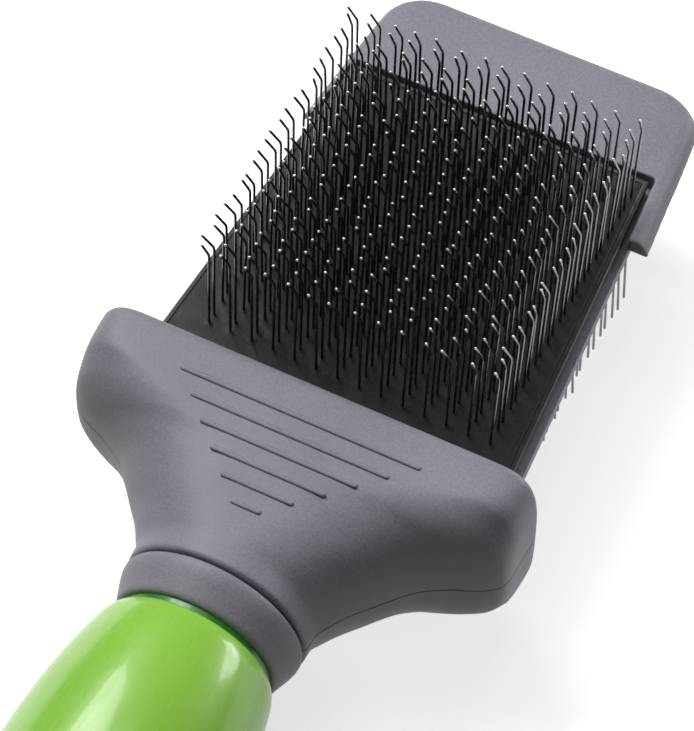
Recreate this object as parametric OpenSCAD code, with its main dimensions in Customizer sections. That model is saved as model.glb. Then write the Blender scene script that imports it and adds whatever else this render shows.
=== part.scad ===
// Two-sided slicker brush. Units are millimetres.
// X runs across the head, +Y along the handle axis towards the end cap, +Z out of the bent-pin pad.
// The origin is the middle of the hang hole. Every module below is drawn with the first row of pins
// at y = 0 and is then moved home.

/* [Pins] */
// Number of pin columns across the pad, always even
pin_cols = 14; // [6:2:18]
// Number of pin rows along the pad
pin_rows = 24; // [8:1:30]
// Distance between neighbouring columns
col_pitch = 3.5; // [2.6:0.1:4.2]
// Distance between neighbouring rows
row_pitch = 2.1; // [1.6:0.1:2.6]
// How far alternate rows run out of square at the outer columns
row_skew = 0.28; // [0:0.02:0.5]
// Sideways offset of the whole pin field from the centre line
field_x = 0.6; // [-1:0.1:1]
// Wire width
wire_d = 0.42; // [0.3:0.02:0.6]
// Height of the elbow of a bent pin above the pad
elbow_h = 16.4; // [8:0.2:20]
// Height of the tip above the elbow
tip_h = 6.1; // [3:0.1:8]
// How far the tip leans back towards the handle
tip_back = 2.9; // [1:0.1:5]
// Height of a straight pin above its pad
straight_h = 18.0; // [8:0.5:24]

/* [Pad] */
// Width of the pad carrier at the shoulder end
pad_w_near = 57.0; // [45:0.2:68]
// Width of the pad carrier at the end cap
pad_w_far = 49.2; // [40:0.2:60]
// Pad length beyond the first row of pins
pad_near = 6.4; // [3:0.1:9]
// Pad length beyond the last row of pins
pad_far = 4.2; // [3:0.1:8]
// Thickness of the rubber face
rubber_t = 0.65; // [0.5:0.05:2]
// Thickness of the woven backing that holds the staple crowns
cloth_t = 0.45; // [0.45:0.05:1]
// Thickness of the carrier tray floor
tray_floor = 0.5; // [0.4:0.1:1.5]
// Width of the rim around a carrier tray
rim_w = 0.7; // [0.5:0.1:1.5]
// How far the rubber face stands above the rim
pad_proud = 0.2; // [0:0.05:0.4]
// Sideways offset of the carriers on the core
pad_x = -0.1; // [-0.4:0.1:0.4]

/* [Floating mount] */
// Rocking angle of the floating head to each side
rock_deg = 2.0; // [1:0.25:3]
// Clearance left under the carrier at full rock
rock_clear = 0.3; // [0.3:0.05:0.8]
// Thickness of the fixed frame plate
frame_t = 2.2; // [1.8:0.1:3]
// Width of the frame rail that stays hidden under the carrier
rail_in = 3.4; // [2.4:0.1:5]
// How far the frame tongue is set in from the carrier edge inside the shoulder
near_in = 4.0; // [2:0.5:6]
// Width of the frame rail that shows beside the carrier
rail_out = 1.0; // [0.8:0.1:3]
// Diameter of the trunnion pins
trunnion_d = 3.0; // [2:0.1:4]
// Radial running clearance of the trunnions
run_gap = 0.04; // [0.02:0.01:0.1]
// Wall of the rubber torsion bushes
bush_wall = 0.7; // [0.6:0.1:1.2]
// Gap between the floating head and the fixed parts around it
float_gap = 0.9; // [0.5:0.1:2]

/* [Shoulder] */
// Width of the shoulder across its lobes
shoulder_w = 69.6; // [60:0.2:90]
// Thickness of the shoulder
shoulder_t = 28.0; // [24:0.2:34]
// Gap between the pad and the shoulder end wall
shoulder_gap = 1.3; // [1:0.1:3]
// Length of the shoulder from its end wall to the crease
shoulder_l = 32.6; // [28:0.2:45]
// Wall thickness of the shoulder shells
shell_wall = 2.4; // [1.8:0.1:3]
// Height of the raised ribs
rib_h = 0.3; // [0.2:0.05:0.8]
// Width of the raised ribs
rib_w = 0.8; // [0.5:0.1:1.5]

/* [Collar and handle] */
// Outer radius of the neck at the crease
neck_r = 14.1; // [13:0.1:18]
// Outer radius of the collar at the handle
collar_r = 12.5; // [12:0.1:16]
// Length of the collar
collar_l = 6.2; // [5:0.2:12]
// Length of the recessed ring between collar and grip
reveal_l = 1.0; // [0.6:0.1:3]
// Length of the green grip
grip_l = 104; // [80:1:140]
// Largest radius of the grip
grip_r = 16.8; // [15.5:0.1:20]
// Radius of the stem that joins shoulder and handle
stem_r = 8.0; // [6.5:0.1:8.5]
// Radius of the hang hole
hang_r = 4.0; // [2.5:0.1:4.5]
// Thickness of the hanging tab
tab_t = 9.0; // [6:0.5:12]

/* [End cap] */
// Length of the end cap beyond the pad
cap_l = 17.3; // [12:0.1:26]
// Length of the arms that run back along the pad
arm_l = 11.2; // [6:0.1:20]
// How far the arms reach outside the frame rails
arm_over = 2.3; // [1.8:0.1:4]
// Extra width at the free ends of the arms
arm_flare = 0.4; // [0:0.1:1]
// Gap between the carrier and the side of the notch
notch_gap = 0.7; // [0.5:0.1:2]
// Sideways offset of the end cap from the centre line
cap_x = 0.8; // [-1:0.1:1]
// How much the side of the end cap slopes in towards the back
cap_draft = 0.42; // [0:0.02:0.5]
// How far the frame tongue is set in from the carrier edge inside the end cap
tongue_in = 1.0; // [0.6:0.1:2]

/* [Hidden] */
eps = 0.01;
seat = 0.05;
fine = 64;
half_field = (pin_cols - 1) * col_pitch / 2;
y_near = -pad_near;
y_far = (pin_rows - 1) * row_pitch + pad_far;
pad_l = y_far - y_near;
taper = (pad_w_near - pad_w_far) / 2 / pad_l;
rail_z = frame_t / 2;
tray_z = rail_z + pad_w_near / 2 * sin(rock_deg) + rock_clear;
cloth_z = tray_z + tray_floor;
rubber_z = cloth_z + cloth_t;
pad_z = rubber_z + rubber_t;
rim_z = pad_z - pad_proud;
trunnion_r = trunnion_d / 2;
bush_in = trunnion_r + run_gap;
bush_out = bush_in + bush_wall;
boss_r = bush_out + 0.9;
y_wall = y_near - shoulder_gap;
y_crease = y_wall - shoulder_l;
y_collar = y_crease - collar_l;
y_grip = y_collar - reveal_l;
y_butt = y_grip - grip_l;
tab_l = 15;
y_end = y_butt - tab_l;
y_home = y_butt - 8;
near_bar = 15;
far_bar = 9;
y_bar_near = y_wall - near_bar;
y_bar_far = y_far + float_gap + far_bar;
y_notch = y_far + float_gap;
y_step = y_wall - 3;
y_cap = y_far + cap_l;
y_arm = y_far - arm_l;
cap_t = pad_z;
half_t = shoulder_t / 2;
core_r = neck_r - 3.1;
screw_r = 1.25;
head_r = 2.4;
s_screw = [[17, y_wall - 9], [12.2, y_crease + 8]];
c_screw = [15, y_notch + 5];
t_screw_x = half_field - 7.5 * col_pitch / 2;
web_a = y_crease + 13;
web_b = y_crease + 3;
flange_y = web_a - 4.5;
grip_end_r = grip_r - 2.6;

// Move a piece so that the origin is the middle of the hang hole.
module home() {
    translate([0, -y_home, 0]) children();
}

// Half width of the carrier at a given y.
function hw(y) = pad_w_near / 2 - taper * (y - y_near);

// Turn a shape built along +Z so that it runs along -Y from the given y.
module along(y) {
    translate([0, y, 0]) rotate([90, 0, 0]) children();
}

// Flat plate that follows the taper of the pad, widened or narrowed by d.
module plan(y0, y1, d) {
    polygon([[-hw(y0) - d, y0], [hw(y0) + d, y0], [hw(y1) + d, y1], [-hw(y1) - d, y1]]);
}

module slab(y0, y1, d, z0, z1) {
    translate([0, 0, z0]) linear_extrude(height = z1 - z0) plan(y0, y1, d);
}

// Rounded section: half width w, half height t, side reach r, drawn as a ring of points.
// With q = 1 a side is half an ellipse, and a smaller q makes it squarer.
seg = 12;
function side_x(a, r, q) = r * pow(max(0, cos(a)), q);
function side_z(a, t, q) = t * sign(sin(a)) * pow(abs(sin(a)), q);
function ring(y, w, r, t, q) = concat(
    [for (i = [0 : seg]) let (a = 90 - 180 * i / seg) [w - r + side_x(a, r, q), y, side_z(a, t, q)]],
    [for (i = [0 : seg]) let (a = 180 * i / seg - 90) [r - w - side_x(a, r, q), y, side_z(a, t, q)]]);

// Skin a list of [y, w, r, t, q] sections, from small y to large y.
module loft(s, drafted = false) {
    n = 2 * (seg + 1);
    m = len(s);
    raw = [for (k = [0 : m - 1]) each ring(s[k][0], s[k][1], s[k][2], s[k][3], s[k][4])];
    pts = drafted ? [for (p = raw) lean(p)] : raw;
    sides = [for (k = [0 : m - 2]) each [for (i = [0 : n - 1])
        each [[k * n + i, (k + 1) * n + i, k * n + (i + 1) % n],
              [k * n + (i + 1) % n, (k + 1) * n + i, (k + 1) * n + (i + 1) % n]]]];
    low = [[for (i = [0 : n - 1]) i]];
    top = [[for (i = [n - 1 : -1 : 0]) (m - 1) * n + i]];
    polyhedron(points = pts, faces = concat(sides, low, top), convexity = 6);
}

// Shoulder sections from the crease to the end wall, shrunk by d all round.
lobe = shoulder_w / 2;
function mixw(k) = neck_r + (lobe - neck_r) * k;
function at(k) = y_crease + k * shoulder_l;
function sec(k, m, r, t, q, d) = [at(k), mixw(m) - d, min(r, mixw(m) - 0.5) - d, t - d, q];
function sections(d) = [
    [y_crease - (d > 0 ? 1 : 0), neck_r - d, neck_r - d, neck_r - d, 1],
    sec(0.08, 0.005, neck_r, half_t, 1, d),
    sec(0.18, 0.08, 14.6, half_t, 0.96, d),
    sec(0.26, 0.165, 15.8, half_t, 0.92, d),
    sec(0.333, 0.262, 17.4, half_t, 0.89, d),
    sec(0.4, 0.35, 18.8, half_t, 0.87, d),
    sec(0.472, 0.458, 20.2, half_t, 0.85, d),
    sec(0.552, 0.65, 23, half_t, 0.82, d),
    sec(0.593, 0.80, 24.4, half_t, 0.78, d),
    sec(0.63, 0.90, 24.4, half_t, 0.73, d),
    sec(0.67, 0.965, 22.6, half_t, 0.67, d),
    sec(0.71, 0.985, 19, half_t, 0.62, d),
    sec(0.744, 0.99, 15, half_t, 0.58, d),
    sec(0.778, 0.992, 11, half_t, 0.55, d),
    sec(0.84, 0.995, 8.4, half_t, 0.54, d),
    sec(0.92, 1, 8, half_t, 0.54, d),
    [y_wall - 1.2 - d, lobe - 0.15 - d, 8 - d, half_t - 0.2 - d, 0.54],
    [y_wall - 0.35 - d, lobe - 0.75 - d, 7.8 - d, half_t - 0.8 - d, 0.54],
    [y_wall - d, lobe - 1.6 - d, 7.6 - d, half_t - 1.6 - d, 0.54]];

// Everything inside the shoulder that is not empty.
module shoulder_inside() {
    translate([-lobe, web_a - 1.5, -half_t]) cube([2 * lobe, 3, shoulder_t]);
    translate([-lobe, web_b - 1.5, -half_t]) cube([2 * lobe, 3, shoulder_t]);
    for (s = s_screw, x = [-1, 1]) {
        translate([x * s[0], s[1], -half_t]) cylinder(h = shoulder_t, r = 3.4, $fn = fine);
    }
    translate([-24, y_bar_near - 2.4, -half_t]) cube([48, 2.4, shoulder_t]);
}

module shoulder_body() {
    difference() {
        loft(sections(0));
        difference() {
            loft(sections(shell_wall));
            shoulder_inside();
        }
        along(y_wall - near_bar + 1) cylinder(h = shoulder_l, r = stem_r + seat, $fn = fine);
        along(flange_y + 2 + seat) cylinder(h = 4 + 2 * seat, r = stem_r + 2.5 + seat, $fn = fine);
        slab(y_bar_near - seat, y_wall + 1, -near_in + seat, -rail_z - seat, rail_z + seat);
        slab(y_step - seat, y_wall + 1, rail_out + seat, -rail_z - seat, rail_z + seat);
        along(y_wall + 1) cylinder(h = near_bar + 1 + seat, r = boss_r + seat, $fn = fine);
    }
}

module rib(y, half) {
    translate([-half, y - rib_w / 2, half_t - 1.6]) cube([2 * half, rib_w, 1.6 + rib_h]);
}

module shoulder_front() color("#94909C") home() {
    difference() {
        union() {
            intersection() {
                shoulder_body();
                translate([-lobe - 1, y_crease - 1, seat / 2])
                    cube([2 * lobe + 2, shoulder_l + 2, half_t]);
            }
            for (i = [0 : 5]) rib(y_wall - 6.4 - 3.28 * i, 18.9 - 3.3 * i);
        }
        for (s = s_screw, x = [-1, 1]) {
            translate([x * s[0], s[1], -1]) cylinder(h = 9, r = screw_r + seat, $fn = fine);
        }
    }
}

module shoulder_back() color("#94909C") home() {
    difference() {
        intersection() {
            shoulder_body();
            translate([-lobe - 1, y_crease - 1, -half_t - seat / 2])
                cube([2 * lobe + 2, shoulder_l + 2, half_t]);
        }
        for (s = s_screw, x = [-1, 1]) {
            translate([x * s[0], s[1], -half_t - 1])
                cylinder(h = half_t + 2, r = screw_r + seat, $fn = fine);
            translate([x * s[0], s[1], -half_t - 1])
                cylinder(h = half_t - 4, r = head_r + 2 * seat, $fn = fine);
        }
    }
}

module shoulder_screws() color("#9A9CA0") home() {
    for (s = s_screw, x = [-1, 1]) {
        translate([x * s[0], s[1], -5.5]) cylinder(h = 13, r = screw_r, $fn = fine);
        translate([x * s[0], s[1], -7]) difference() {
            cylinder(h = 2, r = head_r, $fn = fine);
            translate([-0.4, -1.6, -eps]) cube([0.8, 3.2, 0.9]);
            translate([-1.6, -0.4, -eps]) cube([3.2, 0.8, 0.9]);
        }
    }
}

module frame() color("#8B8893") home() {
    difference() {
        union() {
            slab(y_bar_near, y_wall, -near_in, -rail_z, rail_z);
            slab(y_step, y_notch - seat, rail_out, -rail_z, rail_z);
            slab(y_notch - 1, y_bar_far, -tongue_in, -rail_z, rail_z);
            along(y_wall - 1) cylinder(h = near_bar - 1, r = boss_r, $fn = fine);
            along(y_bar_far) cylinder(h = far_bar, r = boss_r, $fn = fine);
        }
        slab(y_near - float_gap, y_far + float_gap, -rail_in, -rail_z - 1, rail_z + 1);
        along(y_near + 1) cylinder(h = near_bar + 4, r = bush_out + seat / 5, $fn = fine);
        along(y_bar_far - 1.2) cylinder(h = far_bar + 4, r = bush_out + seat / 5, $fn = fine);
        for (x = [-1, 1]) {
            translate([x * s_screw[0][0], s_screw[0][1], -5])
                cylinder(h = 10, r = screw_r + seat, $fn = fine);
            translate([x * c_screw[0], c_screw[1], -5])
                cylinder(h = 10, r = screw_r + seat, $fn = fine);
        }
    }
}

module bush(y, l) {
    along(y) difference() {
        cylinder(h = l, r = bush_out, $fn = fine);
        translate([0, 0, -1]) cylinder(h = l + 2, r = bush_in, $fn = fine);
    }
}

module bush_near() color("#2A2A2C") home() bush(y_wall - 1, near_bar - 2);
module bush_far() color("#2A2A2C") home() bush(y_bar_far - 1.2, far_bar - 1.2);

module trunnion_near() color("#B8BABD") home() {
    along(y_near + 10) cylinder(h = 10 + shoulder_gap + near_bar - 2.5, r = trunnion_r, $fn = fine);
}

module trunnion_far() color("#B8BABD") home() {
    along(y_bar_far - 1.6) cylinder(h = far_bar - 1.6 + float_gap + 10, r = trunnion_r, $fn = fine);
}

module core() color("#1E1E20") home() {
    difference() {
        slab(y_near + 0.4, y_far - 0.4, -rail_in - float_gap, -tray_z, tray_z);
        along(y_near + 10 + seat) cylinder(h = 12, r = trunnion_r, $fn = fine);
        along(y_far + 1) cylinder(h = 11 + seat, r = trunnion_r, $fn = fine);
        for (y = [14, y_far - 18], x = [-1, 1]) {
            translate([x * t_screw_x, y, -tray_z - 1])
                cylinder(h = 2 * tray_z + 2, r = 0.9, $fn = fine);
        }
        for (x = [-1, 1]) {
            translate([x * 10 - 6.5, 2, -tray_z - 1]) cube([13, 7, 2 * tray_z + 2]);
            translate([x * 10 - 6.5, y_far - 15, -tray_z - 1]) cube([13, 7, 2 * tray_z + 2]);
        }
    }
}

module tray() {
    difference() {
        translate([pad_x, 0, 0]) slab(y_near, y_far, 0, tray_z, rim_z);
        translate([pad_x, 0, 0]) slab(y_near + rim_w, y_far - rim_w, -rim_w, cloth_z, rim_z + 1);
        for (y = [14, y_far - 18], x = [-1, 1]) {
            translate([x * t_screw_x, y, tray_z - 1]) cylinder(h = 5, r = 0.9 + seat, $fn = fine);
        }
    }
}

module tray_front() color("#19191B") home() tray();
module tray_back() color("#19191B") home() mirror([0, 0, 1]) tray();

module tray_screws() color("#9A9CA0") home() {
    for (y = [14, y_far - 18], x = [-1, 1], s = [0, 1]) {
        mirror([0, 0, s]) translate([x * t_screw_x, y, 0.6]) {
            cylinder(h = cloth_z - 0.6, r = 0.9, $fn = fine);
        }
    }
}

module sheet(z0, z1) {
    translate([pad_x, 0, 0]) slab(y_near + rim_w + seat, y_far - rim_w - seat, -rim_w - seat, z0, z1);
}

module cloth() sheet(cloth_z, rubber_z);
module cloth_front() color("#3A3A3C") home() cloth();
module cloth_back() color("#3A3A3C") home() mirror([0, 0, 1]) cloth();

module rubber() sheet(rubber_z, pad_z);
module pad_front() color("#28262C") home() rubber();
module pad_back() color("#28262C") home() mirror([0, 0, 1]) rubber();

// One straight length of square wire between two points in a plane of constant x.
function row_y(k, c) = k * row_pitch - ((k % 2) * 2 - 1) * row_skew * (1 - 2 * c / (pin_cols - 1));
function col_x(c) = field_x - half_field + c * col_pitch;
half_wire = wire_d / 2;
crown_z = cloth_z + 0.02;
tip_a = atan2(tip_back, tip_h);
tip_l = norm([tip_back, tip_h]);

module leg(h) {
    translate([-half_wire, -half_wire, crown_z]) cube([wire_d, wire_d, pad_z + h - crown_z]);
}

// A bent leg is a side profile, extruded by the width of the wire.
module bent_leg() {
    k = half_wire * tan(tip_a / 2);
    dy = half_wire * cos(tip_a);
    dz = half_wire * sin(tip_a);
    e = pad_z + elbow_h;
    translate([-half_wire, 0, 0]) rotate([90, 0, 90]) linear_extrude(height = wire_d)
        polygon([[-half_wire, crown_z], [half_wire, crown_z], [half_wire, e + k],
                 [-tip_back + dy, e + tip_h + dz], [-tip_back - dy, e + tip_h - dz],
                 [-half_wire, e - k]]);
}

module crown(k, c) {
    x0 = col_x(c) - half_wire;
    x1 = col_x(c + 1) + half_wire;
    y0 = row_y(k, c);
    y1 = row_y(k, c + 1);
    h = half_wire * 0.8;
    translate([0, 0, crown_z]) linear_extrude(height = wire_d * 0.9)
        polygon([[x0, y0 - h], [x1, y1 - h], [x1, y1 + h], [x0, y0 + h]]);
}

module pins_front() color("#4A4A4E") home() {
    for (k = [0 : pin_rows - 1], c = [0 : 2 : pin_cols - 2]) union() {
        translate([col_x(c), row_y(k, c), 0]) bent_leg();
        translate([col_x(c + 1), row_y(k, c + 1), 0]) bent_leg();
        crown(k, c);
    }
}

module pins_back() color("#4A4A4E") home() {
    for (k = [0 : pin_rows - 1], c = [0 : 2 : pin_cols - 2]) mirror([0, 0, 1]) union() {
        translate([col_x(c), row_y(k, c), 0]) leg(straight_h);
        translate([col_x(c + 1), row_y(k, c + 1), 0]) leg(straight_h);
        crown(k, c);
    }
}

// End cap sections from the arm ends to the flat top.
cap_w = hw(y_arm) + rail_out + arm_over + arm_flare;
cap_w2 = hw(y_cap) + rail_out + arm_over - 0.2;
draft_z = rail_z + 0.2;
function lean(p) = let (k = max(0, draft_z - p[2]) * cap_draft) [p[0] - sign(p[0]) * k, p[1], p[2]];
module cap_blank() {
    translate([cap_x, 0, 0])
        loft([[y_arm, cap_w, 2.6, cap_t, 1],
              [y_cap - 8, cap_w2 + 0.5, 2.8, cap_t, 1],
              [y_cap - 5, cap_w2 + 0.1, 3, cap_t, 1],
              [y_cap - 3, cap_w2 - 0.8, 3.2, cap_t, 1],
              [y_cap - 1.5, cap_w2 - 2.3, 3.4, cap_t - 0.1, 1],
              [y_cap - 0.6, cap_w2 - 3.9, 3.5, cap_t - 0.45, 1],
              [y_cap, cap_w2 - 5.6, 3.6, cap_t - 1.2, 1]], true);
}

module end_cap() color("#94909C") home() {
    difference() {
        cap_blank();
        translate([0, 0, -cap_t - 1]) linear_extrude(height = 2 * cap_t + 2)
            polygon([[-hw(y_arm) - notch_gap - 0.2, y_arm - 1], [hw(y_arm) + notch_gap + 0.2, y_arm - 1],
                     [hw(y_notch) + notch_gap, y_notch], [-hw(y_notch) - notch_gap, y_notch]]);
        translate([-cap_w - 1, y_arm - 1, -cap_t - 1])
            cube([2 * cap_w + 2, y_notch - y_arm + 1, cap_t + 1 + rail_z + seat]);
        slab(y_notch - 1, y_bar_far + seat, -tongue_in + seat, -rail_z - seat, rail_z + seat);
        along(y_bar_far + seat) cylinder(h = far_bar + 2, r = boss_r + seat, $fn = fine);
        for (x = [-1, 1]) {
            translate([x * c_screw[0], c_screw[1], -cap_t - 1])
                cylinder(h = cap_t + 1 + rail_z + 1.2, r = screw_r + seat, $fn = fine);
            translate([x * c_screw[0], c_screw[1], -cap_t - 1])
                cylinder(h = 2.2, r = head_r + 2 * seat, $fn = fine);
        }
    }
}

module cap_screws() color("#9A9CA0") home() {
    for (x = [-1, 1]) {
        translate([x * c_screw[0], c_screw[1], -cap_t + 0.9])
            cylinder(h = cap_t + rail_z + 0.1, r = screw_r, $fn = fine);
        translate([x * c_screw[0], c_screw[1], -cap_t + 0.1]) difference() {
            cylinder(h = 1.1, r = head_r, $fn = fine);
            translate([-0.4, -1.6, -eps]) cube([0.8, 3.2, 0.6]);
            translate([-1.6, -0.4, -eps]) cube([3.2, 0.8, 0.6]);
        }
    }
}

module collar() color("#8E8B96") home() {
    along(y_crease) rotate_extrude($fn = 96)
        polygon([[stem_r + seat, 0.3], [neck_r - 0.5, 0.3], [neck_r, 0.8], [collar_r + 0.3, collar_l - 0.8],
                 [collar_r - 0.4, collar_l], [stem_r + seat, collar_l]]);
}

module stem() color("#6A6873") home() {
    difference() {
        union() {
            along(y_bar_near - 2.4) cylinder(h = y_bar_near - 2.4 - y_collar + 42, r = stem_r, $fn = fine);
            along(flange_y + 2) cylinder(h = 4, r = stem_r + 2.5, $fn = fine);
        }
        along(y_collar + 4) cylinder(h = 60, r = stem_r - 2.6, $fn = fine);
        translate([-20, y_grip - 30, 0]) rotate([0, 90, 0]) cylinder(h = 40, r = 2, $fn = fine);
    }
}

module stem_pin() color("#B8BABD") home() {
    translate([-core_r + 0.3, y_grip - 30, 0]) rotate([0, 90, 0])
        cylinder(h = 2 * core_r - 0.6, r = 2, $fn = fine);
}

module handle_core() color("#2F7A2F") home() {
    difference() {
        union() {
            along(y_collar) cylinder(h = reveal_l, r = collar_r - 0.6, $fn = fine);
            along(y_collar) cylinder(h = reveal_l + grip_l, r = core_r, $fn = fine);
        }
        along(y_collar + 1) cylinder(h = 44, r = stem_r + seat, $fn = fine);
        along(y_collar - 50) cylinder(h = grip_l - 68, r = core_r - 3, $fn = fine);
        along(y_butt + 12) cylinder(h = 20, r = core_r - 3.5, $fn = fine);
        translate([-20, y_grip - 30, 0]) rotate([0, 90, 0]) cylinder(h = 40, r = 2, $fn = fine);
    }
}

module handle_grip() color("#7DBE37") home() {
    along(y_grip) rotate_extrude($fn = 96)
        polygon([[core_r + seat, 0], [collar_r - 0.3, 0], [collar_r + 0.3, 0.35], [collar_r + 0.9, 1.4],
                 [collar_r + 1.6, 4], [collar_r + 0.62 * (grip_r - collar_r), 9],
                 [collar_r + 0.84 * (grip_r - collar_r), 16], [grip_r - 0.15, 26], [grip_r, 36],
                 [grip_r - 0.3, 0.46 * grip_l], [grip_r - 1.1, 0.62 * grip_l],
                 [grip_end_r + 0.3, 0.8 * grip_l], [grip_end_r, 0.9 * grip_l],
                 [grip_end_r + 0.2, grip_l], [core_r + seat, grip_l]]);
}

module butt_cap() color("#6FB02F") home() {
    difference() {
        intersection() {
            along(y_butt) rotate_extrude($fn = 96)
                polygon([[0, 0], [grip_end_r + 0.1, 0], [grip_end_r + 0.1, 1.5], [grip_end_r - 0.8, 5],
                         [grip_end_r - 2.8, 9], [grip_end_r - 6, 12.5], [grip_end_r - 10, 14.6], [0, tab_l]]);
            union() {
                translate([-20, y_end - 1, -tab_t / 2]) cube([40, tab_l + 2, tab_t]);
                translate([-20, y_butt - 2.5, -20]) cube([40, 3, 40]);
            }
        }
        translate([0, y_home, -20]) cylinder(h = 40, r = hang_r, $fn = fine);
    }
    along(y_butt + 10) cylinder(h = 10 + eps, r = core_r - 3.5 - seat, $fn = fine);
}

handle_grip();
handle_core();
butt_cap();
stem();
stem_pin();
collar();
shoulder_front();
shoulder_back();
shoulder_screws();
frame();
bush_near();
bush_far();
end_cap();
cap_screws();
core();
trunnion_near();
trunnion_far();
tray_front();
tray_back();
cloth_front();
cloth_back();
pad_front();
pad_back();
pins_front();
pins_back();
tray_screws();
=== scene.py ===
# %% [markdown]
# # A two-sided slicker brush
# A slicker brush has a flat head full of fine wire pins, a plastic shoulder that holds the head, and a
# round handle. This lesson starts from a packed mechanical model and gives each piece the shape and the
# finish that the real one has. Every length below is in millimetres until it is multiplied by MM.

# %% Load the mechanical model
import math
import bmesh
import bpy
import numpy as np
from mathutils import Matrix, Vector


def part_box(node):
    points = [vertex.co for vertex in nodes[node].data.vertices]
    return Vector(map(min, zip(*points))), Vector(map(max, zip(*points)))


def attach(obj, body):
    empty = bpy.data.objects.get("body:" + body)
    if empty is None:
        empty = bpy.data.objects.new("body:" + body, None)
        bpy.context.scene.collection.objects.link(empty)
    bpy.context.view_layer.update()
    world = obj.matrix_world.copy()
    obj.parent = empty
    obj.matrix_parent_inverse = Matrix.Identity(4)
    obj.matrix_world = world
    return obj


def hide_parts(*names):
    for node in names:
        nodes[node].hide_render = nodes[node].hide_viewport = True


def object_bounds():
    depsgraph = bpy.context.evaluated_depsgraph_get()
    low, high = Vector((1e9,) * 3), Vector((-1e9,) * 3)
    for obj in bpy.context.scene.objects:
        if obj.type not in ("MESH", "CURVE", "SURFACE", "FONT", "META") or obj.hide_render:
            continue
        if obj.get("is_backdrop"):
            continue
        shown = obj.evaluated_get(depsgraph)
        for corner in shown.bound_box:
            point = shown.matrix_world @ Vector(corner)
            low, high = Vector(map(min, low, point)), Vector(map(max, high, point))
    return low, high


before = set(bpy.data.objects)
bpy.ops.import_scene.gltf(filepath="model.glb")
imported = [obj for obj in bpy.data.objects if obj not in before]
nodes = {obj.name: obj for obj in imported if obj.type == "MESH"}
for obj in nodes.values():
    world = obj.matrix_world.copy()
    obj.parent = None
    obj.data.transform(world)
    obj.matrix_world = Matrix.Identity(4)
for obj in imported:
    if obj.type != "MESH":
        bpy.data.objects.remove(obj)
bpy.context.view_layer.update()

MM = 0.001


def low(node):
    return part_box(node)[0] / MM


def high(node):
    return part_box(node)[1] / MM


# %% [markdown]
# ## The camera
# The camera comes first, so that every later step can be judged in the same view. It is a long lens
# that looks down at the head from over the handle and a little to the right. Its place is given by
# two angles and a distance from a point on the bent-pin pad, so it follows the brush if the brush changes.

# %% Camera
PAD_Z = high("pad_front")[2]
AZIMUTH = math.radians(25.93)
ELEVATION = math.radians(56.60)
ROLL = math.radians(0.81)
DISTANCE = 550.6
TARGET = Vector((-0.9, low("pad_front")[1] + 8.25, PAD_Z))

back = Vector((math.sin(AZIMUTH) * math.cos(ELEVATION),
               -math.cos(AZIMUTH) * math.cos(ELEVATION), math.sin(ELEVATION)))
camera = bpy.data.objects.new("camera", bpy.data.cameras.new("camera"))
bpy.context.collection.objects.link(camera)
camera.data.lens = 187.8
camera.data.sensor_width = 36
camera.data.clip_start = 0.01
camera.data.clip_end = 20
right = Vector((math.cos(AZIMUTH), math.sin(AZIMUTH), 0))
up = back.cross(right)
rolled_right = right * math.cos(ROLL) + up * math.sin(ROLL)
rolled_up = up * math.cos(ROLL) - right * math.sin(ROLL)
place = (TARGET + back * DISTANCE) * MM
camera.matrix_world = Matrix(
    [[rolled_right[i], rolled_up[i], back[i], place[i]] for i in range(3)] + [[0, 0, 0, 1]])
bpy.context.scene.camera = camera
print("camera at", [round(c) for c in (TARGET + back * DISTANCE)], "mm")

# %% [markdown]
# ## Material helpers
# Colours are written as the hex values that a paint or plastic chart gives, which are sRGB. Blender
# computes in linear light, so one function converts them. Another adds a node with its settings and
# links in one call, so that each material below reads as a short list of what it is made from.

# %% Colour and node helpers
def linear(code):
    out = []
    for i in (1, 3, 5):
        c = int(code[i:i + 2], 16) / 255
        out.append(c / 12.92 if c <= 0.04045 else ((c + 0.055) / 1.055) ** 2.4)
    return (*out, 1.0)


def add(tree, kind, settings=None, values=None, links=None):
    node = tree.nodes.new(kind)
    for name, value in (settings or {}).items():
        setattr(node, name, value)
    for name, value in (values or {}).items():
        node.inputs[name].default_value = value
    for name, socket in (links or {}).items():
        tree.links.new(socket, node.inputs[name])
    return node


def start_material(name, **shader):
    material = bpy.data.materials.new(name)
    material.use_nodes = True
    tree = material.node_tree
    skin = tree.nodes["Principled BSDF"]
    for socket, value in shader.items():
        skin.inputs[socket.replace("_", " ")].default_value = value
    place = tree.nodes.new("ShaderNodeTexCoord").outputs["Object"]
    return material, tree, skin, place


def per_mm(size):
    """Texture scale for a pattern whose features are this many millimetres across."""
    return 1 / (size * MM)


# %% [markdown]
# ## Grey ABS with a spark-eroded texture
# The shoulder, the collar and the end cap are moulded ABS. The mould was spark eroded, which leaves a
# fine, even grain about a quarter of a millimetre across, so the plastic looks matte and a little
# sandy. The grain here is a noise that moves the brightness, the roughness and the bump together. A
# second, much larger noise gives the slow change of tone that handling leaves.

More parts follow.
